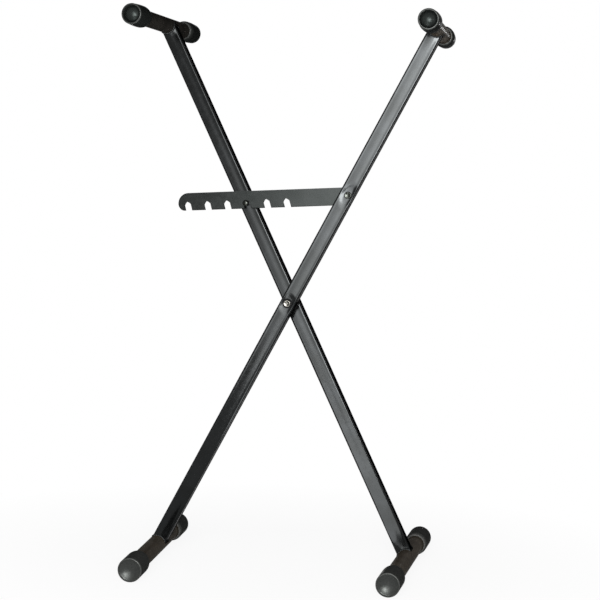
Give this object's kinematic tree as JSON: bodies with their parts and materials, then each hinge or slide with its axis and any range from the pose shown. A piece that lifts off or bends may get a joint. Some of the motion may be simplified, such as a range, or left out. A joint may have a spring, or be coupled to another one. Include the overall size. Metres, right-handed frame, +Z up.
{
  "type": "keyboard stand",
  "caption": "Folding X stand for a keyboard: two crossed square tube legs, round arms and feet with rubber end caps, and a notched locking bar that sets the height.",
  "frame": {"origin": "on the floor, straight below the axis of the main pivot bolt, midway between the front and back ends of the feet", "axes": "+X to the right in the picture, along the direction that the stand opens in; +Y away from the viewer, along the pivot bolt from the front leg to the rear leg; +Z up"},
  "size_m": [0.5124, 0.4141, 0.9305],
  "materials": {
    "leg_paint": "satin black powder coat",
    "bar_paint": "satin black powder coat",
    "plate_paint": "matt dark grey paint on flat steel",
    "cap_rubber": "smooth black rubber",
    "bush_nylon": "black nylon",
    "zinc_plate": "bright zinc plate",
    "black_steel": "blackened steel"
  },
  "bodies": {
    "front_leg_assembly": {"front_leg_tube": "leg_paint", "front_leg_arm_bar": "bar_paint", "front_leg_arm_front_cap": "cap_rubber", "front_leg_arm_back_cap": "cap_rubber", "front_leg_foot_bar": "bar_paint", "front_leg_foot_front_cap": "cap_rubber", "front_leg_foot_back_cap": "cap_rubber", "front_leg_front_bush": "bush_nylon", "front_leg_back_bush": "bush_nylon", "pivot_bolt": "zinc_plate", "pivot_spacer": "bush_nylon", "pivot_washer": "zinc_plate", "pivot_lock_nut": "zinc_plate", "latch_rivet": "black_steel", "latch_washer": "bush_nylon"},
    "rear_leg_assembly": {"rear_leg_tube": "leg_paint", "rear_leg_arm_bar": "bar_paint", "rear_leg_arm_front_cap": "cap_rubber", "rear_leg_arm_back_cap": "cap_rubber", "rear_leg_foot_bar": "bar_paint", "rear_leg_foot_front_cap": "cap_rubber", "rear_leg_foot_back_cap": "cap_rubber", "rear_leg_front_bush": "bush_nylon", "rear_leg_back_bush": "bush_nylon", "hook_pin": "black_steel", "hook_pin_washer": "zinc_plate", "hook_pin_nut": "zinc_plate"},
    "locking_bar_assembly": {"locking_bar": "plate_paint"}
  },
  "joints": [
    {"name": "fold", "type": "hinge", "parent": "front_leg_assembly", "child": "rear_leg_assembly", "pos_m": [0, 0.024, 0.44793], "axis": [0, 1, 0], "range_deg": [0, 46]},
    {"name": "latch", "type": "hinge", "parent": "front_leg_assembly", "child": "locking_bar_assembly", "pos_m": [0.09623, 0.0218, 0.6337], "axis": [0, 1, 0], "range_deg": [0, 117]}
  ],
  "couplings": [
    {"joint": "latch", "follows": "fold", "ratio": 2.54}
  ]
}
